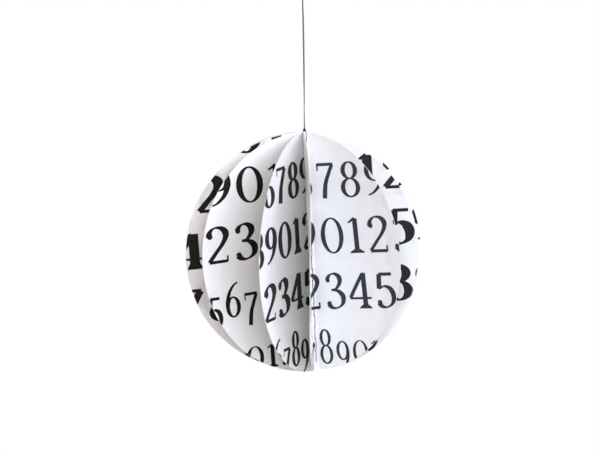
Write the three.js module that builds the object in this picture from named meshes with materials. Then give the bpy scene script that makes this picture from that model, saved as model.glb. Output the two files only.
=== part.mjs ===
// A hanging paper bauble: six equal paper circles sewn together down one line, then
// fanned open into twelve leaves, on a doubled thread that ends in a loop.
// Millimetres, +Z up, -Y is the front. The origin is the inside top of the loop.
import * as THREE from 'three';

// Paper circles
const CIRCLE_RADIUS = 50;
const PAPER_THICKNESS = 0.2;
const OUTLINE_SIDES = 72;

// Seam: a straight row of stitches to the right of the circles' middle
const SEAM_OFFSET = 2.3;
const SHEET_AIR = 0.3;
const STITCH_PITCH = 4.9;
const STITCH_TO_EDGE = 3;
const NEEDLE_HOLE_RADIUS = 0.5;
const NEEDLE_HOLE_SIDES = 6;

// Folds beside the seam: a flat strip that the stitches press, then a tight bend
const FLAT_HALF_WIDTH = 0.65;
const FOLD_RADIUS = 0.9;
const FOLD_STEP = 16;

// Rows of mesh beside the stitches, halved at each step of the bend
const FOLD_ROWS = 8;

// The stack's front faces this many degrees to the right of the front
const STACK_FACING = 25;

// The sheets from front to back. Each has two leaves, left and right of the seam.
// points: where the leaf points at half height, in degrees from the front, right positive.
// twist: how many degrees more than that it points at the top, and less at the bottom.
const SHEETS = [
  { left: { points: 0.7, twist: 3.4 }, right: { points: 49, twist: -1.7 } },
  { left: { points: -23, twist: 2.2 }, right: { points: 69, twist: 5.6 } },
  { left: { points: -57.7, twist: -1.1 }, right: { points: 102, twist: 2 } },
  { left: { points: -80.7, twist: 1.5 }, right: { points: 128, twist: -2 } },
  { left: { points: -113, twist: -1.5 }, right: { points: 151, twist: 2 } },
  { left: { points: -143, twist: 2 }, right: { points: 174, twist: -1.5 } },
];

// The circles' middle is left of the seam, so the ball hangs with its foot to the right
const BALL_TILT = 1.8;

// Threads and knots
const SEAM_THREAD = 0.3;
const CORD_DIAMETER = 0.7;
const CORD_SIDES = 8;
const CORD_STEP = 2.5;
const POLE_KNOT = { width: 1.4, height: 1.3 };
const LOOP_KNOT = { width: 2.8, height: 3 };
const THREAD_AIR = 0.3;

// Height of the loop knot's top under the origin, and the length of thread under it
const LOOP_DROP = 24;
const THREAD_RUN = 60;

// The hanging thread, upwards from the pole knot: sideways bow and share of its length
const THREAD_BOW = [
  [0, 0], [0.02, 0.07], [0.05, 0.14], [0.09, 0.21], [0.12, 0.28], [0.15, 0.35], [0.17, 0.42],
  [0.18, 0.5], [0.18, 0.58], [0.17, 0.65], [0.15, 0.72], [0.11, 0.79], [0.07, 0.86],
  [0.03, 0.93], [0, 1],
];

// The loop's left side, upwards from its knot: distance from the middle and depth under
// the loop's top. The right side mirrors it.
const LOOP_SIDE = [
  [0.6, 23.7], [0.75, 22], [1.1, 20], [1.6, 17.8], [2.25, 15.4], [2.95, 12.8], [3.6, 10.2],
  [4.05, 7.8], [4.2, 5.6], [3.95, 3.6], [3.3, 1.9], [2.2, 0.6], [1.15, 0.05],
];

const paper = { color: 0xf1f1f4, roughness: 0.85, metalness: 0 };
const thread = { color: 0x3a3938, roughness: 0.95, metalness: 0 };

const degrees = THREE.MathUtils.degToRad;
const sheetPitch = PAPER_THICKNESS + SHEET_AIR;
const stackHalf = (SHEETS.length * sheetPitch - SHEET_AIR) / 2;
const seamHalf = Math.sqrt(CIRCLE_RADIUS ** 2 - SEAM_OFFSET ** 2);

// A level direction, counted in degrees from the front with right positive
function heading(angle) {
  return new THREE.Vector3(Math.sin(degrees(angle)), -Math.cos(degrees(angle)), 0);
}

function part(name, geometry, look) {
  const mesh = new THREE.Mesh(geometry, new THREE.MeshStandardMaterial(look));
  mesh.name = name;
  return mesh;
}

// Distance of a sheet's middle layer in front of the stack's middle
function sheetPlace(index) {
  return ((SHEETS.length - 1) / 2 - index) * sheetPitch;
}

// Where a point of the flat circle goes when the sheet is folded. across runs along the
// paper from the seam, right positive, up along the seam and out towards the front face.
function foldedPoint(index, across, up, out) {
  const side = across < 0 ? -1 : 1;
  const leaf = side < 0 ? SHEETS[index].left : SHEETS[index].right;
  const startAngle = STACK_FACING + 90 * side;
  const fullTurn = leaf.points + leaf.twist * up / CIRCLE_RADIUS - startAngle;
  const bendLength = FOLD_RADIUS * Math.abs(degrees(fullTurn));
  const run = Math.abs(across);
  const facing = heading(STACK_FACING);
  const start = heading(startAngle);
  const point = facing.clone().multiplyScalar(sheetPlace(index) + out);
  if (run <= FLAT_HALF_WIDTH) {
    point.addScaledVector(start, run);
  } else {
    const forward = -side * Math.sign(fullTurn);
    const bent = Math.min((run - FLAT_HALF_WIDTH) / bendLength, 1) * fullTurn;
    const centre = facing.clone().multiplyScalar(sheetPlace(index) + forward * FOLD_RADIUS);
    centre.addScaledVector(start, FLAT_HALF_WIDTH);
    point.copy(centre);
    point.addScaledVector(heading(STACK_FACING + bent), out - forward * FOLD_RADIUS);
    const straight = Math.max(run - FLAT_HALF_WIDTH - bendLength, 0);
    point.addScaledVector(heading(startAngle + fullTurn), straight);
  }
  point.z = up;
  return point;
}

// Heights of the needle holes, evenly spread about the middle of the seam
function stitchHeights() {
  const count = Math.floor(2 * (seamHalf - STITCH_TO_EDGE) / STITCH_PITCH) + 1;
  return Array.from({ length: count }, (_, i) => (i - (count - 1) / 2) * STITCH_PITCH);
}

// Half the height of the flat circle at a distance across from the seam
function halfHeight(across) {
  return Math.sqrt(CIRCLE_RADIUS ** 2 - (across + SEAM_OFFSET) ** 2);
}

// The columns of the mesh on one side of the seam, outwards from the strip under the
// stitches: how far across each stands, and its number of rows
function leafColumns(index, side) {
  const leaf = side < 0 ? SHEETS[index].left : SHEETS[index].right;
  const turn = Math.abs(leaf.points - STACK_FACING - 90 * side);
  const bendLength = FOLD_RADIUS * degrees(turn);
  const steps = Math.ceil(turn / FOLD_STEP);
  const columns = [];
  for (let step = 1; step <= steps; step++) {
    const across = side * (FLAT_HALF_WIDTH + bendLength * step / steps);
    columns.push({ across, rows: Math.max(Math.floor(FOLD_ROWS / 2 ** (step - 1)), 1) });
  }
  const clear = FLAT_HALF_WIDTH + bendLength + FOLD_RADIUS;
  for (let corner = 0; corner < OUTLINE_SIDES / 2; corner++) {
    const angle = 2 * Math.PI * (corner + 0.5) / OUTLINE_SIDES;
    const across = CIRCLE_RADIUS * Math.cos(angle) - SEAM_OFFSET;
    if (across * side > clear) columns.push({ across, rows: 1 });
  }
  return columns.sort((a, b) => Math.abs(a.across) - Math.abs(b.across));
}

// The flat circle as a mesh of points and triangles that face the front
function flatCircle(index) {
  const points = [];
  const triangles = [];
  const addPoint = (across, up) => points.push(new THREE.Vector2(across, up)) - 1;

  // Fills the strip between two columns of points
  const fillStrip = (left, right) => {
    let i = 0;
    let j = 0;
    while (i < left.length - 1 || j < right.length - 1) {
      const leftNext = i < left.length - 1 ? points[left[i + 1]].y : Infinity;
      const rightNext = j < right.length - 1 ? points[right[j + 1]].y : Infinity;
      if (leftNext < rightNext) {
        triangles.push([left[i], right[j], left[i + 1]]);
        i += 1;
      } else {
        triangles.push([left[i], right[j], right[j + 1]]);
        j += 1;
      }
    }
  };

  // Fills one cell of the strip under the stitches, round its needle hole
  const fillCell = (corners, height) => {
    const hole = Array.from({ length: NEEDLE_HOLE_SIDES }, (_, i) => {
      const angle = -2 * Math.PI * i / NEEDLE_HOLE_SIDES;
      const across = NEEDLE_HOLE_RADIUS * Math.sin(angle);
      return addPoint(across, height + NEEDLE_HOLE_RADIUS * Math.cos(angle));
    });
    const ids = [...corners, ...hole];
    const outline = corners.map((id) => points[id]);
    const faces = THREE.ShapeUtils.triangulateShape(outline, [hole.map((id) => points[id])]);
    faces.forEach((face) => triangles.push(face.map((i) => ids[i])));
  };

  const heights = stitchHeights();
  const borders = [...heights, heights.at(-1) + STITCH_PITCH];
  const stitchColumn = (across) => {
    const end = halfHeight(across);
    const ups = [-end, ...borders.map((border) => border - STITCH_PITCH / 2), end];
    return ups.map((up) => addPoint(across, up));
  };
  const seamLeft = stitchColumn(-FLAT_HALF_WIDTH);
  const seamRight = stitchColumn(FLAT_HALF_WIDTH);
  fillStrip(seamLeft.slice(0, 2), seamRight.slice(0, 2));
  fillStrip(seamLeft.slice(-2), seamRight.slice(-2));
  heights.forEach((height, i) => {
    fillCell([seamLeft[i + 1], seamRight[i + 1], seamRight[i + 2], seamLeft[i + 2]], height);
  });
  for (const side of [-1, 1]) {
    let inner = side < 0 ? seamLeft : seamRight;
    for (const { across, rows } of leafColumns(index, side)) {
      const end = halfHeight(across);
      const outer = Array.from({ length: rows + 1 }, (_, row) => (
        addPoint(across, end * (2 * row / rows - 1))));
      if (side < 0) fillStrip(outer, inner);
      else fillStrip(inner, outer);
      inner = outer;
    }
  }
  return { points, triangles };
}

// One circle: the flat mesh, folded and given its thickness
function paperCircle(index) {
  const { points, triangles } = flatCircle(index);
  const folded = [0.5, -0.5].flatMap((layer) => points.map(({ x, y }) => (
    foldedPoint(index, x, y, layer * PAPER_THICKNESS))));
  const back = points.length;
  const faces = triangles.flatMap(([a, b, c]) => [a, b, c, back + a, back + c, back + b]);
  const edges = triangles.flatMap(([a, b, c]) => [[a, b], [b, c], [c, a]]);
  const known = new Set(edges.map(([a, b]) => `${a} ${b}`));
  for (const [a, b] of edges) {
    if (!known.has(`${b} ${a}`)) {
      faces.push(a, back + a, b, b, back + a, back + b);
    }
  }
  const geometry = new THREE.BufferGeometry().setFromPoints(folded);
  geometry.setIndex(faces);
  geometry.computeVertexNormals();
  return part(`paper_circle_${index + 1}`, geometry, paper);
}

function rectangle(shape, left, bottom, right, top) {
  shape.moveTo(left, bottom);
  shape.lineTo(right, bottom);
  shape.lineTo(right, top);
  shape.lineTo(left, top);
  shape.closePath();
  return shape;
}

// The stitches: a thread along each face of the stack, with a rung through each row of
// needle holes
function seamThread() {
  const inner = stackHalf + THREAD_AIR;
  const outer = inner + SEAM_THREAD;
  const rungs = stitchHeights();
  const end = rungs.at(-1) + SEAM_THREAD / 2;
  const ladder = rectangle(new THREE.Shape(), -outer, -end, outer, end);
  rungs.slice(1).forEach((rung) => {
    const foot = rung - STITCH_PITCH + SEAM_THREAD / 2;
    ladder.holes.push(rectangle(new THREE.Path(), -inner, foot, inner, rung - SEAM_THREAD / 2));
  });
  const geometry = new THREE.ExtrudeGeometry(ladder, { depth: SEAM_THREAD, bevelEnabled: false });
  geometry.translate(0, 0, -SEAM_THREAD / 2);
  const facing = heading(STACK_FACING);
  const up = new THREE.Vector3(0, 0, 1);
  geometry.applyMatrix4(new THREE.Matrix4().makeBasis(facing, up, facing.clone().cross(up)));
  return part('seam_thread', geometry, thread);
}

function knot(name, size, top) {
  const geometry = new THREE.SphereGeometry(0.5, 12, 8);
  geometry.rotateX(Math.PI / 2);
  geometry.scale(size.width, size.width, size.height);
  geometry.translate(0, 0, top - size.height / 2);
  return part(name, geometry, thread);
}

function cord(name, points) {
  const section = new THREE.Shape();
  for (let corner = 0; corner < CORD_SIDES; corner++) {
    const angle = 2 * Math.PI * corner / CORD_SIDES;
    const place = [Math.cos(angle) * CORD_DIAMETER / 2, Math.sin(angle) * CORD_DIAMETER / 2];
    if (corner === 0) section.moveTo(...place);
    else section.lineTo(...place);
  }
  section.closePath();
  const path = new THREE.CatmullRomCurve3(points);
  const steps = Math.round(path.getLength() / (CORD_STEP * CORD_DIAMETER));
  const geometry = new THREE.ExtrudeGeometry(section, { steps, extrudePath: path, bevelEnabled: false });
  return part(name, geometry, thread);
}

// Heights from the loop downwards, each piece hanging from the one above
const loopKnotTop = -LOOP_DROP;
const threadTop = loopKnotTop - LOOP_KNOT.height - THREAD_AIR;
const threadFoot = threadTop - THREAD_RUN;
const poleKnotTop = threadFoot - THREAD_AIR;
const pole = poleKnotTop - POLE_KNOT.height - THREAD_AIR;

function hangingThread() {
  const points = THREAD_BOW.map(([bow, share]) => (
    new THREE.Vector3(bow, 0, THREE.MathUtils.lerp(threadFoot, threadTop, share))));
  return cord('hanging_thread', points);
}

function hangingLoop() {
  const left = LOOP_SIDE.map(([apart, depth]) => (
    new THREE.Vector3(-apart, 0, CORD_DIAMETER / 2 - depth)));
  const right = left.map((point) => new THREE.Vector3(-point.x, point.y, point.z)).reverse();
  const top = new THREE.Vector3(0, 0, CORD_DIAMETER / 2);
  return cord('hanging_loop', [...left, top, ...right]);
}

const circles = new THREE.Group();
circles.position.z = -seamHalf;
SHEETS.forEach((sheet, index) => circles.add(paperCircle(index)));
circles.add(seamThread());

const ball = new THREE.Group();
ball.position.z = pole;
ball.rotation.y = -degrees(BALL_TILT);
ball.add(circles);

const bauble = new THREE.Group();
bauble.add(ball);
bauble.add(knot('pole_knot', POLE_KNOT, poleKnotTop));
bauble.add(hangingThread());
bauble.add(knot('loop_knot', LOOP_KNOT, loopKnotTop));
bauble.add(hangingLoop());

export default bauble;
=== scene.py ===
# A hanging paper bauble: six printed paper circles sewn together down one line and fanned
# open into twelve leaves, on a doubled dark thread that ends in a loop. Metres, +Z up.
import math
import bpy
from mathutils import Matrix, Vector
from mathutils.geometry import delaunay_2d_cdt


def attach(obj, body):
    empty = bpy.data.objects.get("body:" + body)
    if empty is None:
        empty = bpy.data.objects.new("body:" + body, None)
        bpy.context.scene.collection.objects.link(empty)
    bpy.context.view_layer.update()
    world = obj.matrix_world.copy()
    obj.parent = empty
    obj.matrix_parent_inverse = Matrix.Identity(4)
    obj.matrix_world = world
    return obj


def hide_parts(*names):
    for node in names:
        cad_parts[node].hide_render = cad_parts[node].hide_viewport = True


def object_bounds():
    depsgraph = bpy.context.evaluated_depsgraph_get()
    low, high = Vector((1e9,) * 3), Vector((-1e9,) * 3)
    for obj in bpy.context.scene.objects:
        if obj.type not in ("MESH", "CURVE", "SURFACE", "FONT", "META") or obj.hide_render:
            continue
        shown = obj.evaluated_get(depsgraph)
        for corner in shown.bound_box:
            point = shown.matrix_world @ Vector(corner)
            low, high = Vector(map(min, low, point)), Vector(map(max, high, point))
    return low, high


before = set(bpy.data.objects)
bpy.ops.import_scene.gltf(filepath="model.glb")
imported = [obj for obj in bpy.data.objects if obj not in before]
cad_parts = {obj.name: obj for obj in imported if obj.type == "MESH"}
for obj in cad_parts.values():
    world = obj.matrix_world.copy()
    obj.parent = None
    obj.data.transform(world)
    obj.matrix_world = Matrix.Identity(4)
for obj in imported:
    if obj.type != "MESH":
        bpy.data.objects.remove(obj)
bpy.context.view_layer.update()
mm = 0.001
print("frame loaded")


def deselectAll():
    bpy.ops.object.select_all(action="DESELECT")


def makeActive(piece):
    deselectAll()
    piece.select_set(True)
    bpy.context.view_layer.objects.active = piece


def join(name, pieces):
    deselectAll()
    for piece in pieces:
        piece.select_set(True)
    bpy.context.view_layer.objects.active = pieces[0]
    if len(pieces) > 1:
        bpy.ops.object.join()
    pieces[0].name = name
    pieces[0].data.name = name
    return pieces[0]


def finishPiece(piece, material, slot, *nodes):
    piece.data.materials.clear()
    piece.data.materials.append(material)
    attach(piece, "root")
    if nodes:
        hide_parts(*nodes)


# Camera: almost level, a long way off for so small a thing
view = {
    "aim": (0, 0, -139.2 * mm),
    "distance": 1277 * mm,
    "elevation": 6.93,
    "roll": 0.85,
    "lens": 182.96,
    "shift": (-0.01038, 0.0441),  # the bauble's middle is right of and under the picture's
    "clip": (0.05, 20),
}
rise = math.radians(view["elevation"])
back = Vector((0, -math.cos(rise), math.sin(rise)))
deselectAll()
bpy.ops.object.camera_add(location=Vector(view["aim"]) + back * view["distance"])
camera = bpy.context.object
camera.name = "camera"
camera.rotation_mode = "QUATERNION"
turn = (-back).to_track_quat("-Z", "Y")
roll = Matrix.Rotation(-math.radians(view["roll"]), 3, "Z").to_quaternion()
camera.rotation_quaternion = turn @ roll
camera.data.lens = view["lens"]
camera.data.shift_x, camera.data.shift_y = view["shift"]
camera.data.clip_start, camera.data.clip_end = view["clip"]
bpy.context.scene.camera = camera
print("camera placed")


# Materials
def newMaterial(name, roughness):
    material = bpy.data.materials.new(name)
    material.use_nodes = True
    nodes, links = material.node_tree.nodes, material.node_tree.links
    shader = nodes["Principled BSDF"]
    shader.inputs["Roughness"].default_value = roughness
    return nodes, links, shader, material


def objectNoise(nodes, links, scale, detail=2):
    place = nodes.new("ShaderNodeTexCoord")
    noise = nodes.new("ShaderNodeTexNoise")
    noise.inputs["Scale"].default_value = scale
    noise.inputs["Detail"].default_value = detail
    links.new(place.outputs["Object"], noise.inputs["Vector"])
    return noise


# Where the two colours lie in the noise, which seldom reaches 0 or 1
rampEnds = (0.3, 0.7)


def colourFrom(nodes, links, source, shader, *colours):
    ramp = nodes.new("ShaderNodeValToRGB")
    for element, position, colour in zip(ramp.color_ramp.elements, rampEnds, colours):
        element.position = position
        element.color = (*colour, 1)
    links.new(source, ramp.inputs["Fac"])
    links.new(ramp.outputs["Color"], shader.inputs["Base Color"])


def bumpFrom(nodes, links, source, receiver, strength, distance):
    bump = nodes.new("ShaderNodeBump")
    bump.inputs["Strength"].default_value = strength
    bump.inputs["Distance"].default_value = distance
    links.new(source, bump.inputs["Height"])
    links.new(bump.outputs["Normal"], receiver.inputs["Normal"])
    return bump


# The paper's fibres, which show through the print as well
paperFibre = {"scale": 5200, "detail": 4}


def makePaperMaterial():
    look = {
        "roughness": 0.78, "specular": 0.25,
        "cloudLow": (0.895, 0.885, 0.88), "cloudHigh": (0.925, 0.915, 0.91),
        "cloudScale": 160, "bump": 0.12, "height": 0.02 * mm,
        "waveScale": 38, "wave": 0.6, "waveHeight": 0.6 * mm,
        "glow": 0.9, "glowDepth": 0.3 * mm,
    }
    nodes, links, shader, material = newMaterial("whitePaper", look["roughness"])
    cloud = objectNoise(nodes, links, look["cloudScale"])
    colourFrom(nodes, links, cloud.outputs["Fac"], shader, look["cloudLow"], look["cloudHigh"])
    fibre = objectNoise(nodes, links, **paperFibre)
    grain = bumpFrom(nodes, links, fibre.outputs["Fac"], shader, look["bump"], look["height"])
    wave = objectNoise(nodes, links, look["waveScale"], 0)
    bumpFrom(nodes, links, wave.outputs["Fac"], grain, look["wave"], look["waveHeight"])
    shader.inputs["Specular IOR Level"].default_value = look["specular"]
    shader.inputs["Subsurface Weight"].default_value = look["glow"]
    shader.inputs["Subsurface Scale"].default_value = look["glowDepth"]
    shader.inputs["Subsurface Radius"].default_value = (1, 1, 1)
    return material


def makeInkMaterial(name, low, high):
    look = {
        "roughness": 0.62, "specular": 0.14, "mottleScale": 900, "mottleDetail": 4,
        "bump": 0.1, "height": 0.02 * mm,
    }
    nodes, links, shader, material = newMaterial(name, look["roughness"])
    mottle = objectNoise(nodes, links, look["mottleScale"], look["mottleDetail"])
    colourFrom(nodes, links, mottle.outputs["Fac"], shader, low, high)
    fibre = objectNoise(nodes, links, **paperFibre)
    bumpFrom(nodes, links, fibre.outputs["Fac"], shader, look["bump"], look["height"])
    shader.inputs["Specular IOR Level"].default_value = look["specular"]
    return material


def makeThreadMaterial():
    look = {
        "roughness": 0.9, "specular": 0.25, "sheen": 0.1, "sheenRoughness": 0.5,
        "low": (0.01, 0.0095, 0.009), "high": (0.036, 0.034, 0.032),
        "scale": 3600, "detail": 5, "bump": 0.5, "height": 0.03 * mm,
    }
    nodes, links, shader, material = newMaterial("darkThread", look["roughness"])
    fibre = objectNoise(nodes, links, look["scale"], look["detail"])
    colourFrom(nodes, links, fibre.outputs["Fac"], shader, look["low"], look["high"])
    bumpFrom(nodes, links, fibre.outputs["Fac"], shader, look["bump"], look["height"])
    shader.inputs["Specular IOR Level"].default_value = look["specular"]
    shader.inputs["Sheen Weight"].default_value = look["sheen"]
    shader.inputs["Sheen Roughness"].default_value = look["sheenRoughness"]
    return material


paperMaterial = makePaperMaterial()
# Copies of one dark ink. Only black is the ink's own colour; the grey and brown copies are painted
# light and shade
inkMaterials = {
    # Lighter and bluish: painted light, the ink as it looks on the brightly lit leaves of sheet 1
    "grey": makeInkMaterial("greyInkPaintedLight", (0.031, 0.031, 0.042), (0.044, 0.044, 0.056)),
    "black": makeInkMaterial("blackInk", (0.017, 0.0155, 0.016), (0.028, 0.026, 0.027)),
    # Darker and warm: painted warm shade, the ink as it looks on the shaded leaves of sheets 3 and 4
    "brown": makeInkMaterial("brownInkPaintedShade", (0.007, 0.004, 0.003), (0.013, 0.009, 0.007)),
}
threadMaterial = makeThreadMaterial()


# A smooth curve through the points
def smoothLine(points, steps, closed=False):
    count = len(points)
    line = []
    for i in range(count if closed else count - 1):
        if closed:
            p = [points[(i + k) % count] for k in (-1, 0, 1, 2)]
        else:
            p = [points[min(max(i + k, 0), count - 1)] for k in (-1, 0, 1, 2)]
        for step in range(steps):
            t = step / steps
            line.append(0.5 * (2 * p[1] + (p[2] - p[0]) * t
                               + (2 * p[0] - 5 * p[1] + 4 * p[2] - p[3]) * t * t
                               + (3 * p[1] - p[0] - 3 * p[2] + p[3]) * t ** 3))
    if not closed:
        line.append(points[-1].copy())
    return line


def makeTube(name, points, radius, closed=False):
    curve = bpy.data.curves.new(name, "CURVE")
    curve.dimensions = "3D"
    curve.bevel_depth = radius
    curve.bevel_resolution = 2
    curve.use_fill_caps = True
    spline = curve.splines.new("POLY")
    spline.points.add(len(points) - 1)
    for point, place in zip(spline.points, points):
        point.co = (*place, 1)
    spline.use_cyclic_u = closed
    tube = bpy.data.objects.new(name, curve)
    bpy.context.scene.collection.objects.link(tube)
    makeActive(tube)
    bpy.ops.object.convert(target="MESH")
    bpy.ops.object.shade_smooth()
    return bpy.context.object


# The same line with its points a step apart
def evenLine(line, step):
    even = [line[0]]
    left = step
    for a, b in zip(line, line[1:]):
        length = (b - a).length
        while left <= length:
            even.append(a.lerp(b, left / length))
            left += step
        left -= length
    even.append(line[-1])
    return even


# Two strands wound loosely round the line, each of two tightly wound plies
def makeTwistedThread(name, line):
    strandRadius = cordPlan["diameter"] / 4
    plyRadius = strandRadius / 2
    line = evenLine(line, cordPlan["step"])
    plies = []
    firstAngle = math.radians(cordPlan["firstAngle"])
    for strandStart in (firstAngle, firstAngle + math.pi):
        for plyStart in (0, math.pi):
            points = []
            for i, place in enumerate(line):
                ahead = (line[min(i + 1, len(line) - 1)] - line[max(i - 1, 0)]).normalized()
                side = ahead.cross(Vector((0, 1, 0))).normalized()
                front = side.cross(ahead)
                along = 2 * math.pi * cordPlan["step"] * i
                strand = strandStart + along / cordPlan["twist"]
                ply = plyStart + along / cordPlan["plyTwist"]
                sideways = strandRadius * math.cos(strand) + plyRadius * math.cos(ply)
                forwards = strandRadius * math.sin(strand) + plyRadius * math.sin(ply)
                points.append(place + sideways * side + forwards * front)
            plies.append(makeTube(name, points, plyRadius * cordPlan["plySwell"]))
    return join(name, plies)


cordPlan = {
    "diameter": 0.7 * mm, "twist": 110 * mm, "firstAngle": 63, "plyTwist": 1.5 * mm,
    "plySwell": 1.06,  # the plies press a little into each other
    "step": 0.14 * mm, "runSteps": 10, "loopSteps": 6,
    "run": 60 * mm, "loopDrop": 24 * mm, "air": 0.3 * mm, "intoKnot": 0.8 * mm,
    "loopKnot": {"width": 2.8 * mm, "height": 3 * mm, "strand": 0.42 * mm},
    "poleKnot": {"width": 1.4 * mm, "height": 1.3 * mm, "strand": 0.2 * mm},
    "bow": [  # sideways bow in mm and share of the length, upwards
        (0, 0), (0.02, 0.07), (0.05, 0.14), (0.09, 0.21), (0.12, 0.28), (0.15, 0.35),
        (0.17, 0.42), (0.18, 0.5), (0.18, 0.58), (0.17, 0.65), (0.15, 0.72), (0.11, 0.79),
        (0.07, 0.86), (0.03, 0.93), (0, 1),
    ],
    "loopSide": [  # distance from the middle and depth under the loop's top, in mm, upwards
        (0.35, 24.8), (0.6, 23.7), (0.75, 22), (1.1, 20), (1.6, 17.8), (2.25, 15.4), (2.95, 12.8),
        (3.6, 10.2), (4.05, 7.8), (4.2, 5.6), (3.95, 3.6), (3.3, 1.9), (2.2, 0.6),
        (1.15, 0.05),
    ],
}
loopKnotTop = -cordPlan["loopDrop"]
threadTop = loopKnotTop - cordPlan["loopKnot"]["height"] - cordPlan["air"]
threadFoot = threadTop - cordPlan["run"]
poleKnotTop = threadFoot - cordPlan["air"]


# A knot: one strand that crosses over itself three times, drawn tight
def makeKnot(name, knot, top):
    steps = 72
    wide = (knot["width"] / 2 - knot["strand"]) / 3
    tall = knot["height"] / 2 - knot["strand"]
    middle = top - knot["height"] / 2
    points = []
    for step in range(steps):
        t = 2 * math.pi * step / steps
        points.append(Vector((
            wide * (math.sin(t) + 2 * math.sin(2 * t)),
            wide * (math.cos(t) - 2 * math.cos(2 * t)),
            middle - tall * math.sin(3 * t))))
    return makeTube(name, points, knot["strand"], closed=True)


poleKnot = makeKnot("pole_knot_thread", cordPlan["poleKnot"], poleKnotTop)
loopKnot = makeKnot("loop_knot_thread", cordPlan["loopKnot"], loopKnotTop)
finishPiece(poleKnot, threadMaterial, "thread", "pole_knot")
finishPiece(loopKnot, threadMaterial, "thread", "loop_knot")

route = [Vector((bow * mm, 0, threadFoot + (threadTop - threadFoot) * share))
         for bow, share in cordPlan["bow"]]
route.insert(0, Vector((0, 0, threadFoot - cordPlan["intoKnot"])))
route.append(Vector((0, 0, threadTop + cordPlan["intoKnot"])))
line = smoothLine(route, cordPlan["runSteps"])
hangingThread = makeTwistedThread("hanging_thread_twist", line)
finishPiece(hangingThread, threadMaterial, "thread", "hanging_thread")

leftSide = [Vector((-apart * mm, 0, cordPlan["diameter"] / 2 - depth * mm))
            for apart, depth in cordPlan["loopSide"]]
rightSide = [Vector((-place.x, 0, place.z)) for place in reversed(leftSide)]
loopTop = Vector((0, 0, cordPlan["diameter"] / 2))
line = smoothLine(leftSide + [loopTop] + rightSide, cordPlan["loopSteps"])
hangingLoop = makeTwistedThread("hanging_loop_twist", line)
finishPiece(hangingLoop, threadMaterial, "thread", "hanging_loop")
print("threads made")


# The paper circles: made flat, then folded beside the seam
sheet = {
    "radius": 50 * mm, "thickness": 0.2 * mm, "seamOffset": 2.3 * mm, "pitch": 0.5 * mm,
    "flatHalf": 0.65 * mm, "foldRadius": 0.9 * mm, "facing": 25, "tilt": 1.8,
    "pole": poleKnotTop - cordPlan["poleKnot"]["height"] - cordPlan["air"],
    "stitchPitch": 4.9 * mm, "stitchToEdge": 3 * mm, "rimSides": 288,
    "holeRadius": 0.36 * mm, "holeSides": 12, "needleLength": 2 * mm,
    # where each leaf points at half height, in degrees to the right of the front, and how
    # many degrees more at the top and less at the bottom
    "leaves": [
        ((0.7, 3.4), (49, -1.7)), ((-23, 2.2), (69, 5.6)), ((-57.7, -1.1), (102, 2)),
        ((-80.7, 1.5), (128, -2)), ((-113, -1.5), (151, 2)), ((-143, 2), (174, -1.5)),
    ],
}
seamHalf = math.sqrt(sheet["radius"] ** 2 - sheet["seamOffset"] ** 2)
hang = (Matrix.Translation((0, 0, sheet["pole"]))
        @ Matrix.Rotation(-math.radians(sheet["tilt"]), 4, "Y")
        @ Matrix.Translation((0, 0, -seamHalf)))


def heading(angle):
    return Vector((math.sin(math.radians(angle)), -math.cos(math.radians(angle)), 0))


def sheetPlace(index):
    return ((len(sheet["leaves"]) - 1) / 2 - index) * sheet["pitch"]


def foldedPoint(index, across, up, out):
    side = -1 if across < 0 else 1
    points, twist = sheet["leaves"][index][0 if side < 0 else 1]
    startAngle = sheet["facing"] + 90 * side
    turn = points + twist * up / sheet["radius"] - startAngle
    bendLength = sheet["foldRadius"] * abs(math.radians(turn))
    run = abs(across)
    facing, start = heading(sheet["facing"]), heading(startAngle)
    place = facing * (sheetPlace(index) + out)
    if run <= sheet["flatHalf"]:
        place += start * run
    else:
        forward = -side * math.copysign(1, turn)
        bent = min((run - sheet["flatHalf"]) / bendLength, 1) * turn
        place = facing * (sheetPlace(index) + forward * sheet["foldRadius"]) + start * sheet["flatHalf"]
        place += heading(sheet["facing"] + bent) * (out - forward * sheet["foldRadius"])
        place += heading(startAngle + turn) * max(run - sheet["flatHalf"] - bendLength, 0)
    place.z = up
    return hang @ place


def foldMesh(piece, index):
    for vertex in piece.data.vertices:
        vertex.co = foldedPoint(index, *vertex.co)
    piece.data.update()


def stitchHeights():
    count = int(2 * (seamHalf - sheet["stitchToEdge"]) / sheet["stitchPitch"]) + 1
    return [(i - (count - 1) / 2) * sheet["stitchPitch"] for i in range(count)]


# Where the flat paper's mesh is cut, in mm: close together in the folds
cutPlan = {
    "foldStep": 0.14, "foldCuts": 15, "leafStart": 3.1, "leafStep": 2.6, "leafCuts": 19,
    "upStep": 2.5, "upCuts": 19,
}
foldCuts = [sheet["flatHalf"] + cutPlan["foldStep"] * mm * i for i in range(cutPlan["foldCuts"])]
leafCuts = [(cutPlan["leafStart"] + cutPlan["leafStep"] * i) * mm for i in range(cutPlan["leafCuts"])]
acrossCuts = sorted(side * at for side in (-1, 1) for at in foldCuts + leafCuts)
upCuts = [cutPlan["upStep"] * mm * i for i in range(-cutPlan["upCuts"], cutPlan["upCuts"] + 1)]


def cutGrid(piece):
    makeActive(piece)
    bpy.ops.object.mode_set(mode="EDIT")
    cuts = [((at, 0, 0), (1, 0, 0)) for at in acrossCuts] + [((0, at, 0), (0, 1, 0)) for at in upCuts]
    for place, direction in cuts:
        bpy.ops.mesh.select_all(action="SELECT")
        bpy.ops.mesh.bisect(plane_co=place, plane_no=direction, threshold=1e-7)
    bpy.ops.object.mode_set(mode="OBJECT")


def addThickness(piece, thickness):
    makeActive(piece)
    wall = piece.modifiers.new("thickness", "SOLIDIFY")
    wall.thickness = thickness
    wall.offset = 0
    bpy.ops.object.modifier_apply(modifier=wall.name)


def smoothSides(piece):
    makeActive(piece)
    bpy.ops.object.shade_smooth_by_angle(angle=math.radians(35))


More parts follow.
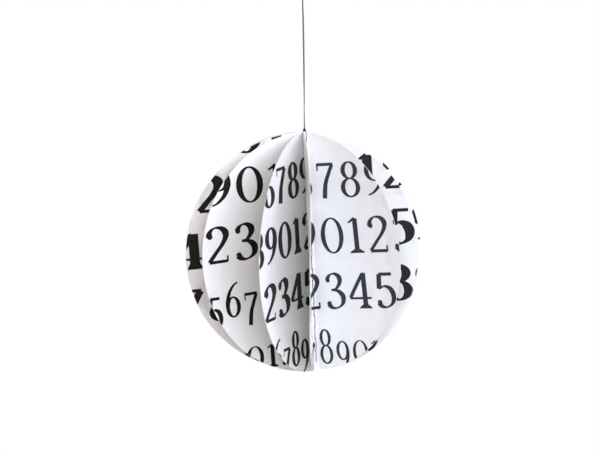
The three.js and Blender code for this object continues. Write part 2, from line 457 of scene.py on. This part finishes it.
def makeNeedles():
    needles = []
    for height in stitchHeights():
        deselectAll()
        bpy.ops.mesh.primitive_cylinder_add(vertices=sheet["holeSides"], radius=sheet["holeRadius"],
                                            depth=sheet["needleLength"], location=(0, height, 0))
        needles.append(bpy.context.object)
    return join("needles", needles)


def makeSheet(index, needles):
    deselectAll()
    bpy.ops.mesh.primitive_circle_add(vertices=sheet["rimSides"], radius=sheet["radius"],
                                      fill_type="NGON", location=(-sheet["seamOffset"], 0, 0))
    piece = bpy.context.object
    piece.name = piece.data.name = f"paper_{index + 1}"
    bpy.ops.object.transform_apply(location=True)
    cutGrid(piece)
    addThickness(piece, sheet["thickness"])
    holes = piece.modifiers.new("needle holes", "BOOLEAN")
    holes.operation = "DIFFERENCE"
    holes.solver = "EXACT"
    holes.object = needles
    bpy.ops.object.modifier_apply(modifier=holes.name)
    foldMesh(piece, index)
    smoothSides(piece)
    finishPiece(piece, paperMaterial, "paper", f"paper_circle_{index + 1}")
    return piece


needles = makeNeedles()
sheets = [makeSheet(index, needles) for index in range(len(sheet["leaves"]))]
bpy.data.objects.remove(needles)
print("paper circles made")


# Numerals for the print, in units of their height: pen strokes by their middle lines,
# rings by middle and half sizes, balls by middle and size, bars by their corners, and
# serifs on the line by middle and half width. 9 is 6 turned upside down.
numerals = {
    "0": {"width": 0.62, "rings": [(0.31, 0.5, 0.245, 0.475)]},
    "1": {"width": 0.44, "serifs": [(0.23, 0.19)], "strokes": [
        [(0.23, 0.03), (0.23, 0.35), (0.23, 0.65), (0.23, 0.95)],
        [(0.05, 0.84), (0.12, 0.88), (0.22, 0.965)]]},
    "2": {"width": 0.56, "balls": [(0.1, 0.73, 0.062)],
          "bars": [(0.05, 0, 0.47, 0.085), (0.46, 0.02, 0.5, 0.19)], "strokes": [
        [(0.08, 0.72), (0.1, 0.86), (0.21, 0.965), (0.36, 0.95), (0.46, 0.84), (0.46, 0.69),
         (0.37, 0.5), (0.21, 0.28), (0.05, 0.05)]]},
    "3": {"width": 0.54, "balls": [(0.1, 0.79, 0.058), (0.09, 0.16, 0.062)], "strokes": [
        [(0.08, 0.8), (0.15, 0.93), (0.28, 0.975), (0.4, 0.89), (0.41, 0.73), (0.31, 0.57),
         (0.18, 0.53)],
        [(0.18, 0.53), (0.36, 0.49), (0.47, 0.34), (0.44, 0.14), (0.3, 0.03), (0.16, 0.04),
         (0.07, 0.14)]]},
    "4": {"width": 0.6, "bars": [(0.02, 0.255, 0.58, 0.315)], "serifs": [(0.41, 0.16)], "strokes": [
        [(0.4, 0.97), (0.3, 0.8), (0.16, 0.55), (0.03, 0.3)],
        [(0.41, 0.03), (0.41, 0.35), (0.41, 0.65), (0.41, 0.98)]]},
    "5": {"width": 0.53, "balls": [(0.09, 0.17, 0.062)],
          "bars": [(0.12, 0.885, 0.45, 0.975)], "strokes": [
        [(0.13, 0.93), (0.12, 0.8), (0.1, 0.53)],
        [(0.1, 0.53), (0.24, 0.6), (0.39, 0.53), (0.46, 0.34), (0.42, 0.14), (0.28, 0.03), (0.14, 0.05),
         (0.07, 0.15)]]},
    "6": {"width": 0.58, "rings": [(0.3, 0.295, 0.195, 0.27)], "strokes": [
        [(0.49, 0.96), (0.35, 0.89), (0.2, 0.72), (0.11, 0.48), (0.105, 0.3)]]},
    "7": {"width": 0.54, "bars": [(0.05, 0.89, 0.49, 0.975), (0.04, 0.76, 0.08, 0.95)], "strokes": [
        [(0.47, 0.92), (0.36, 0.68), (0.25, 0.38), (0.2, 0)]]},
    "8": {"width": 0.56, "rings": [(0.28, 0.74, 0.165, 0.225), (0.28, 0.27, 0.2, 0.25)]},
}
printPlan = {
    "height": 15.2 * mm, "smallHeight": 10 * mm, "rowPitch": 23.2 * mm, "firstRow": 27.6 * mm,
    "wide": 1.35, "gap": 0.13, "filmThickness": 0.03 * mm, "rimMargin": 0.04,
    # where rows start, left of the seam in mm, and how many numerals on the next row and
    # the back start
    "rowStart": 62, "rowSkip": 3, "backSkip": 5,
    # the printed rows of each sheet: thick and thin stroke, turn, shift to the right,
    # shift upwards, first numeral, ink (the grey ink is painted light, the brown painted warm shade),
    # which rows there are and which of them are small, and where the back's rows end, if it's before
    # the rim
    "sheets": [
        {"thick": 0.13, "thin": 0.044, "turn": 3.9, "right": 0.6, "up": -0.5, "first": 2, "ink": "grey",
         "rows": (0, 1, 2, 3), "small": (3,), "backEnd": -13},
        {"thick": 0.22, "thin": 0.058, "turn": 2.2, "right": 3, "up": 2.2, "first": 5, "ink": "black",
         "rows": (0, 1, 2, 3), "small": (3,)},
        {"thick": 0.155, "thin": 0.048, "turn": 1, "right": 1, "up": 1.2, "first": 8, "ink": "brown",
         "rows": (0, 1, 2, 3), "small": (2, 3)},
        {"thick": 0.22, "thin": 0.058, "turn": 2, "right": 5, "up": -1.9, "first": 1, "ink": "brown",
         "rows": (-1, 0, 1, 2, 3), "small": (3,)},
        {"thick": 0.15, "thin": 0.048, "turn": -1, "right": 2, "up": -1, "first": 4, "ink": "black",
         "rows": (0, 1, 2, 3), "small": (3,)},
        {"thick": 0.19, "thin": 0.052, "turn": 1, "right": 4, "up": -3, "first": 6, "ink": "black",
         "rows": (0, 1, 2, 3), "small": (3,)},
    ],
}


# How the pen draws: its nib's angle, how fast a stroke thins as it turns, and the shape of
# rings, balls and serifs as shares of the thick and thin strokes
pen = {
    "nib": 18, "contrast": 1.6, "steps": 6, "ringShare": 0.45, "ballSize": 0.75,
    "ballGrowth": 1.6, "ballSides": 14, "serifEdge": 0.7, "serifRise": 2.6,
}


def penStroke(points, thick, thin):
    line = smoothLine([Vector(point) for point in points], pen["steps"])
    left, right = [], []
    for i, place in enumerate(line):
        ahead = line[min(i + 1, len(line) - 1)] - line[max(i - 1, 0)]
        lean = math.atan2(ahead.y, ahead.x) - math.radians(pen["nib"])
        half = (thin + (thick - thin) * abs(math.sin(lean)) ** pen["contrast"]) / 2
        side = Vector((-ahead.y, ahead.x)).normalized() * half
        left.append(place + side)
        right.append(place - side)
    return left + right[::-1]


def ovalOutline(x, y, halfWidth, halfHeight, sides=36):
    return [Vector((x + halfWidth * math.cos(2 * math.pi * i / sides),
                    y + halfHeight * math.sin(2 * math.pi * i / sides))) for i in range(sides)]


def upsideDown(outlines):
    width = numerals["6"]["width"]
    return [[Vector((width - p.x, 1 - p.y)) for p in outline] for outline in outlines]


# The outlines of a numeral: those that are inked and those that are left bare
def numeralOutlines(name, thick, thin):
    if name == "9":
        inked, bare = numeralOutlines("6", thick, thin)
        return upsideDown(inked), upsideDown(bare)
    plan = numerals[name]
    inked = [penStroke(stroke, thick, thin) for stroke in plan.get("strokes", [])]
    bare = []
    for x, y, halfWidth, halfHeight in plan.get("rings", []):
        side = thick * pen["ringShare"]
        inked.append(ovalOutline(x, y, halfWidth + side, halfHeight + thin / 2))
        bare.append(ovalOutline(x, y, halfWidth - side, halfHeight - thin / 2))
    for x, y, size in plan.get("balls", []):
        size *= pen["ballSize"] + pen["ballGrowth"] * thick
        inked.append(ovalOutline(x, y, size, size, pen["ballSides"]))
    for left, low, right, high in plan.get("bars", []):
        inked.append([Vector(p) for p in ((left, low), (right, low), (right, high), (left, high))])
    edge, rise = thin * pen["serifEdge"], thin * pen["serifRise"]
    for x, half in plan.get("serifs", []):
        inked.append([Vector((x + a, b)) for a, b in (
            (-half, 0), (half, 0), (half, edge), (thick / 2, rise), (-thick / 2, rise), (-half, edge))])
    return inked, bare


def counterClockwise(outline):
    area = sum(a.x * b.y - b.x * a.y for a, b in zip(outline, outline[1:] + outline[:1]))
    return outline if area > 0 else outline[::-1]


# Old-style figures for the small row: where each one's foot is and how tall it stands
oldStyle = {"tall": (0, 1.5), "hanging": (-0.42, 1.4), "short": (0, 1)}


def smallFigure(name):
    if name in "68":
        return oldStyle["tall"]
    return oldStyle["hanging" if name in "34579" else "short"]


# Every outline of one printed face, in the flat paper's millimetres
def printedRows(plan, back):
    inked, bare = [], []
    turn = Matrix.Rotation(math.radians(plan["turn"]), 2)
    for row in plan["rows"]:
        small = row in plan["small"]
        height = printPlan["smallHeight" if small else "height"]
        baseline = seamHalf - printPlan["firstRow"] - printPlan["rowPitch"] * row + plan["up"] * mm
        cursor = (plan["right"] - printPlan["rowStart"]) * mm
        end = plan["backEnd"] * mm if back and "backEnd" in plan else sheet["radius"]
        figure = plan["first"] + printPlan["rowSkip"] * row + (printPlan["backSkip"] if back else 0)
        while cursor < end:
            name = str(figure % 10)
            low, stretch = smallFigure(name) if small else (0, 1)
            groups = numeralOutlines(name, plan["thick"], plan["thin"])
            for outlines, kept in zip(groups, (inked, bare)):
                for outline in outlines:
                    placed = [turn @ Vector((cursor + p.x * height * printPlan["wide"],
                                             baseline + (low + p.y * stretch) * height))
                              for p in outline]
                    if back:
                        placed = [Vector((-p.x, p.y)) for p in placed]
                    kept.append(counterClockwise([p / mm for p in placed]))
            width = numerals.get(name, numerals["6"])["width"] * printPlan["wide"]
            cursor += (width + printPlan["gap"]) * height
            figure += 1
    return inked, bare


# The inked area cut into triangles along the outlines and the paper's own cuts, in mm
def cutPrint(inked, bare):
    reach = 60  # past the rim on every side
    insideOutlines, tolerance = 1, 1e-5
    rimRadius = sheet["radius"] / mm - printPlan["rimMargin"]
    holeRadius = sheet["holeRadius"] / mm
    rim = ovalOutline(-sheet["seamOffset"] / mm, 0, rimRadius, rimRadius, sheet["rimSides"])
    holes = [ovalOutline(0, height / mm, holeRadius, holeRadius, sheet["holeSides"])
             for height in stitchHeights()]
    outlines = [rim] + bare + holes + inked
    firstInked = 1 + len(bare) + len(holes)
    corners, faces = [], []
    for outline in outlines:
        faces.append(list(range(len(corners), len(corners) + len(outline))))
        corners += outline
    edges = []
    for at in acrossCuts:
        edges.append((len(corners), len(corners) + 1))
        corners += [Vector((at / mm, -reach)), Vector((at / mm, reach))]
    for at in upCuts:
        edges.append((len(corners), len(corners) + 1))
        corners += [Vector((-reach, at / mm)), Vector((reach, at / mm))]
    places, _, triangles, _, _, owners = delaunay_2d_cdt(corners, edges, faces,
                                                         insideOutlines, tolerance)
    kept = []
    for triangle, owner in zip(triangles, owners):
        inRim = 0 in owner
        isBare = any(0 < face < firstInked for face in owner)
        if inRim and not isBare and any(face >= firstInked for face in owner):
            kept.append(triangle)
    return places, kept


def makePrint(index, back):
    plan = printPlan["sheets"][index]
    places, kept = cutPrint(*printedRows(plan, back))
    used = sorted({corner for triangle in kept for corner in triangle})
    order = {corner: i for i, corner in enumerate(used)}
    name = f"print_{index + 1}_{'back' if back else 'front'}"
    mesh = bpy.data.meshes.new(name)
    mesh.from_pydata([(places[i].x * mm, places[i].y * mm, 0) for i in used], [],
                     [[order[i] for i in triangle] for triangle in kept])
    piece = bpy.data.objects.new(name, mesh)
    bpy.context.scene.collection.objects.link(piece)
    addThickness(piece, printPlan["filmThickness"])
    out = sheet["thickness"] / 2 * (-1 if back else 1)
    for vertex in piece.data.vertices:
        vertex.co.z += out
    foldMesh(piece, index)
    smoothSides(piece)
    finishPiece(piece, inkMaterials[plan["ink"]], "paper")
    return piece


prints = [makePrint(index, back) for index in range(len(sheets)) for back in (False, True)]
print("print made:", sum(len(piece.data.polygons) for piece in prints), "faces")


# The stitches: one thread sewn down the seam and back up, in at every hole
def makeStitches():
    plan = {
        "radius": 0.12 * mm, "beside": 0.12 * mm, "steps": 4,
        "inHole": 0.7,  # share of the stack's half thickness
        # share of the stitch's length, and lift off the paper in thread radii
        "arch": ((0.1, 1.3), (0.5, 1.7), (0.9, 1.3)),
        # past the last hole, and over the top: share of the way out and height in mm
        "endLift": 1.5, "endRise": 0.6 * mm, "overTop": ((1, -0.3), (0.75, 0.2), (0.15, 0.5)),
    }
    half = (sheet["pitch"] * (len(sheets) - 1) + sheet["thickness"]) / 2
    heights = stitchHeights()
    facing = heading(sheet["facing"])
    across = heading(sheet["facing"] + 90)
    threads = []
    for way in (1, -1):
        points = []
        for i, height in enumerate(heights):
            face = way * (1 if i % 2 else -1)
            points += [(-face * plan["inHole"] * half, height), (face * plan["inHole"] * half, height)]
            if i + 1 < len(heights):
                gap = heights[i + 1] - height
                for share, lift in plan["arch"]:
                    points.append((face * (half + lift * plan["radius"]), height + gap * share))
            else:
                outside = face * (half + plan["endLift"] * plan["radius"])
                points.append((outside, height + plan["endRise"]))
                points += [(outside * share, seamHalf + above * mm) for share, above in plan["overTop"]]
        line = smoothLine([hang @ (facing * out + across * way * plan["beside"] + Vector((0, 0, up)))
                           for out, up in points], plan["steps"])
        threads.append(makeTube("stitches", line, plan["radius"]))
    return join("stitches", threads)


stitches = makeStitches()
finishPiece(stitches, threadMaterial, "thread", "seam_thread")
print("stitches made")


# Floor, light and the white behind
studio = {
    "floorDrop": 0.36, "floorSize": 2.4, "floorColour": (0.82, 0.82, 0.82), "floorRoughness": 0.8,
    "floorGlow": 0.7, "worldLevel": 0.25, "worldColour": (1, 0.68, 0.54),
    "lamps": [  # azimuth right of the front, elevation, distance, size, power, colour
        ("frontLamp", 0, 20, 1.3, 0.5, 6.2, (0.85, 0.94, 1)),
        ("keyLamp", 24, 20, 1.3, 0.5, 6.2, (0.83, 0.91, 1)),
        ("coolLamp", 50, 20, 1.3, 0.5, 7.6, (0.66, 0.76, 1)),
        ("leftLamp", -142, 20, 1.3, 0.5, 6, (1, 1, 1)),
        ("backLamp", 166, 24, 1.3, 0.5, 7, (1, 1, 1)),
    ],
}


# 1 where the camera sees a surface, also in a reflection or through glass, and 0 elsewhere
def cameraSees(nodes, links):
    rays = nodes.new("ShaderNodeLightPath")
    seen = rays.outputs["Is Camera Ray"]
    for kind in ("Is Glossy Ray", "Is Transmission Ray"):
        either = nodes.new("ShaderNodeMath")
        either.operation = "MAXIMUM"
        links.new(seen, either.inputs[0])
        links.new(rays.outputs[kind], either.inputs[1])
        seen = either.outputs["Value"]
    return seen


def makeWorld():
    world = bpy.data.worlds.new("studio")
    bpy.context.scene.world = world
    world.use_nodes = True
    nodes, links = world.node_tree.nodes, world.node_tree.links
    white = nodes.new("ShaderNodeBackground")
    light = nodes["Background"]
    light.inputs["Color"].default_value = (*studio["worldColour"], 1)
    light.inputs["Strength"].default_value = studio["worldLevel"]
    mix = nodes.new("ShaderNodeMixShader")
    links.new(cameraSees(nodes, links), mix.inputs["Fac"])
    links.new(light.outputs["Background"], mix.inputs[1])
    links.new(white.outputs["Background"], mix.inputs[2])
    white.inputs["Color"].default_value = (1, 1, 1, 1)
    white.inputs["Strength"].default_value = 1
    links.new(mix.outputs["Shader"], nodes["World Output"].inputs["Surface"])


def makeFloor():
    deselectAll()
    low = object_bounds()[0].z - studio["floorDrop"]
    bpy.ops.mesh.primitive_plane_add(size=studio["floorSize"], location=(0, 0, low))
    floor = bpy.context.object
    floor.name = "floor"
    nodes, links, shader, material = newMaterial("paleFloor", studio["floorRoughness"])
    shader.inputs["Base Color"].default_value = (*studio["floorColour"], 1)
    white = nodes.new("ShaderNodeEmission")
    mix = nodes.new("ShaderNodeMixShader")
    glow = nodes.new("ShaderNodeMath")
    glow.operation = "MULTIPLY"
    glow.inputs[1].default_value = studio["floorGlow"]
    links.new(cameraSees(nodes, links), glow.inputs[0])
    links.new(glow.outputs["Value"], mix.inputs["Fac"])
    links.new(shader.outputs["BSDF"], mix.inputs[1])
    links.new(white.outputs["Emission"], mix.inputs[2])
    links.new(mix.outputs["Shader"], nodes["Material Output"].inputs["Surface"])
    floor.data.materials.append(material)


def makeLamps():
    aim = Vector(view["aim"])
    for name, azimuth, elevation, distance, size, power, colour in studio["lamps"]:
        lift = math.radians(elevation)
        place = heading(azimuth) * math.cos(lift) * distance + Vector((0, 0, math.sin(lift) * distance))
        deselectAll()
        bpy.ops.object.light_add(type="AREA", location=aim + place)
        lamp = bpy.context.object
        lamp.name = name
        lamp.data.size = size
        lamp.data.energy = power
        lamp.data.color = colour
        lamp.rotation_euler = (-place).to_track_quat("-Z", "Y").to_euler()


makeWorld()
makeFloor()
makeLamps()
bpy.context.scene.view_settings.view_transform = "Standard"
print("studio made")
